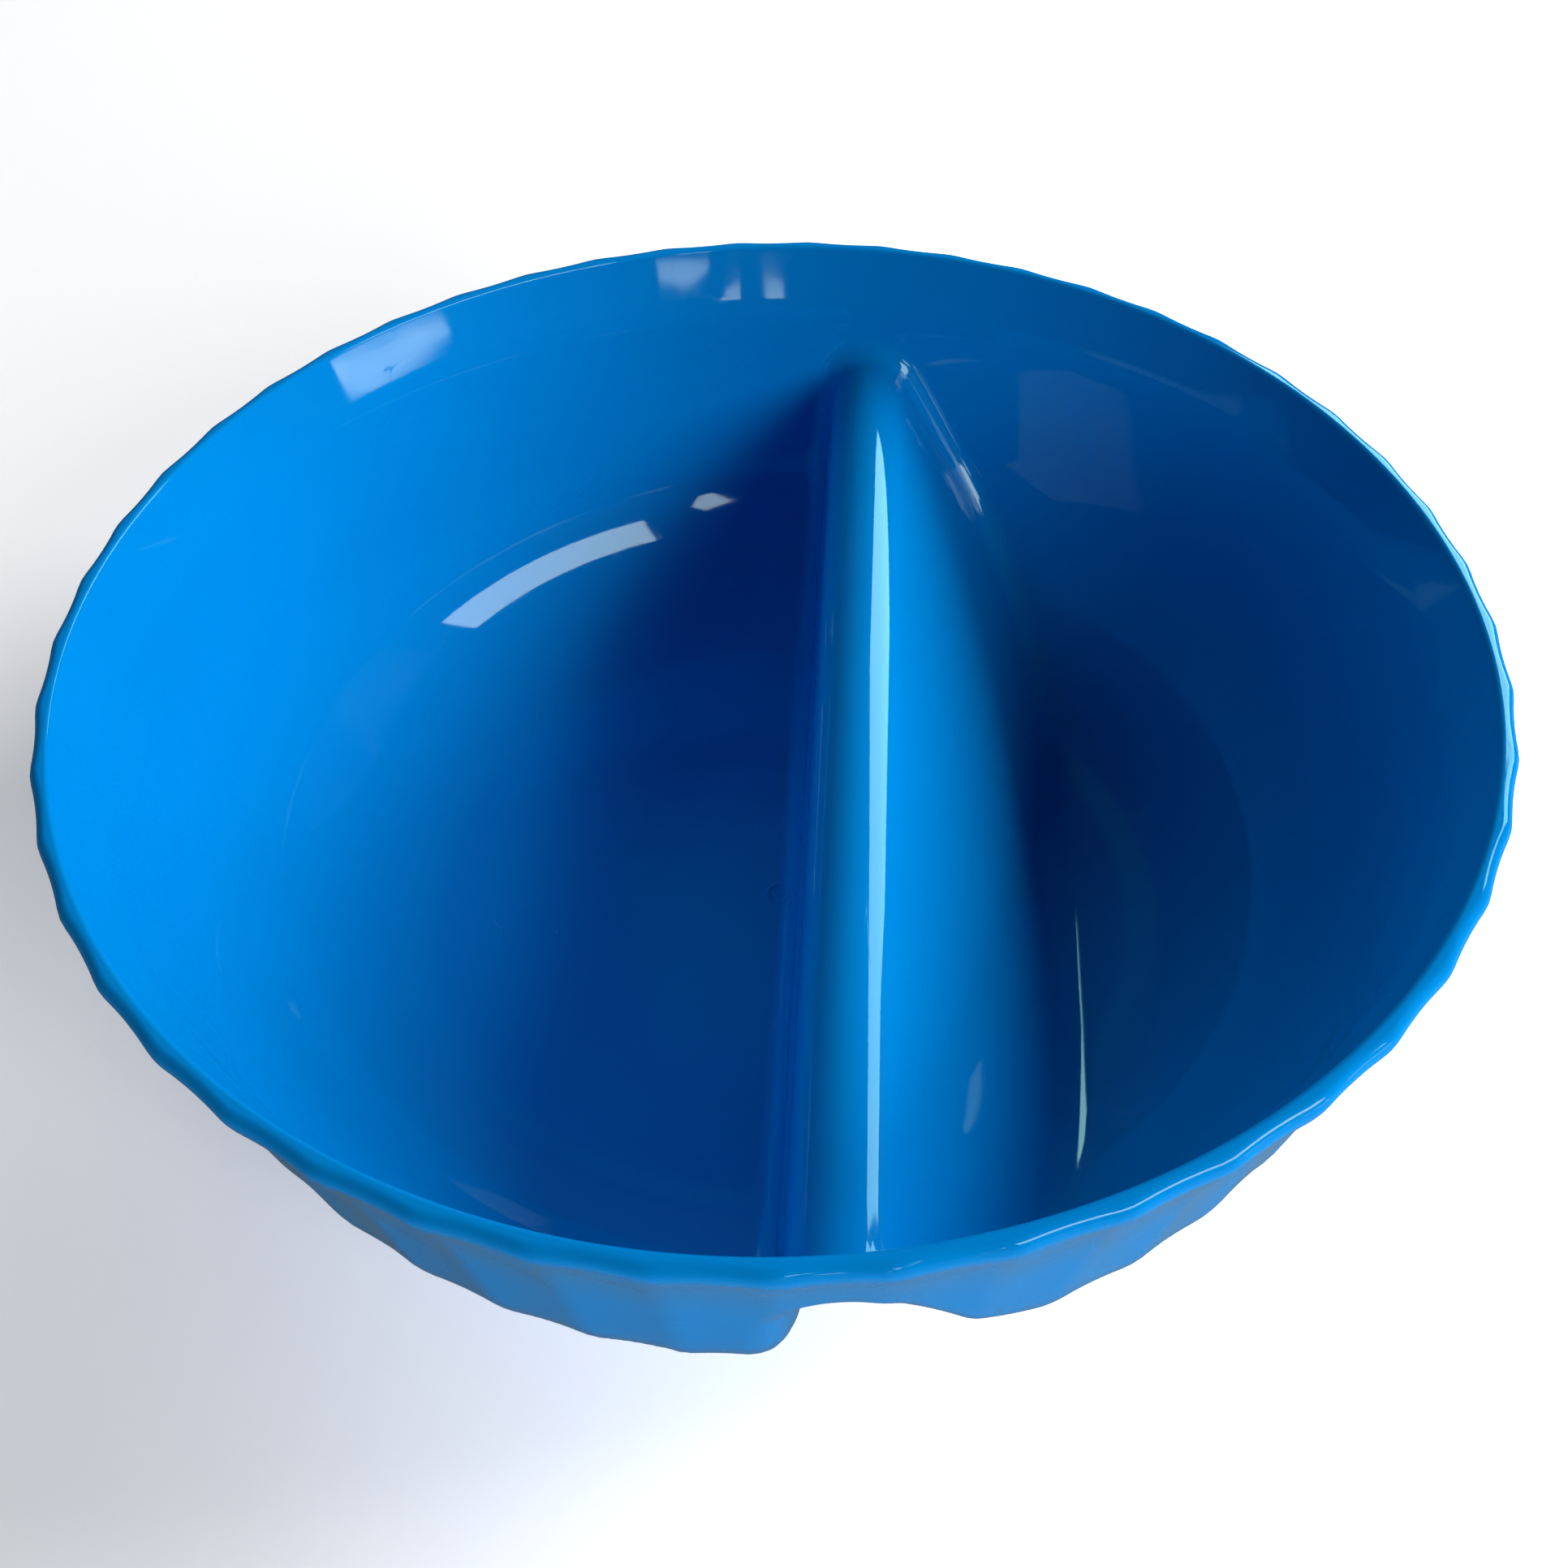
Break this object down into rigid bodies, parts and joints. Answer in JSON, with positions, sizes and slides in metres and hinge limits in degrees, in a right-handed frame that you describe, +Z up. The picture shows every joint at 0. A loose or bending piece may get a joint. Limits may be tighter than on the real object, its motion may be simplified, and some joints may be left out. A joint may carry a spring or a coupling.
{
  "type": "divided bowl",
  "caption": "Round plastic bowl, faceted outside, with a hollow moulded divider making a large and a small compartment.",
  "frame": {"origin": "centre of the flat base, on the surface the bowl stands on", "axes": "+Z up out of the open top; +Y along the divider; +X from the large compartment to the small one, so the divider's steep face looks towards -X and its ramp towards +X"},
  "size_m": [0.1799, 0.1799, 0.058],
  "materials": {
    "blue_plastic": "glossy moulded plastic, saturated blue"
  },
  "bodies": {
    "root": {"divided_bowl": "blue_plastic"}
  },
  "joints": []
}
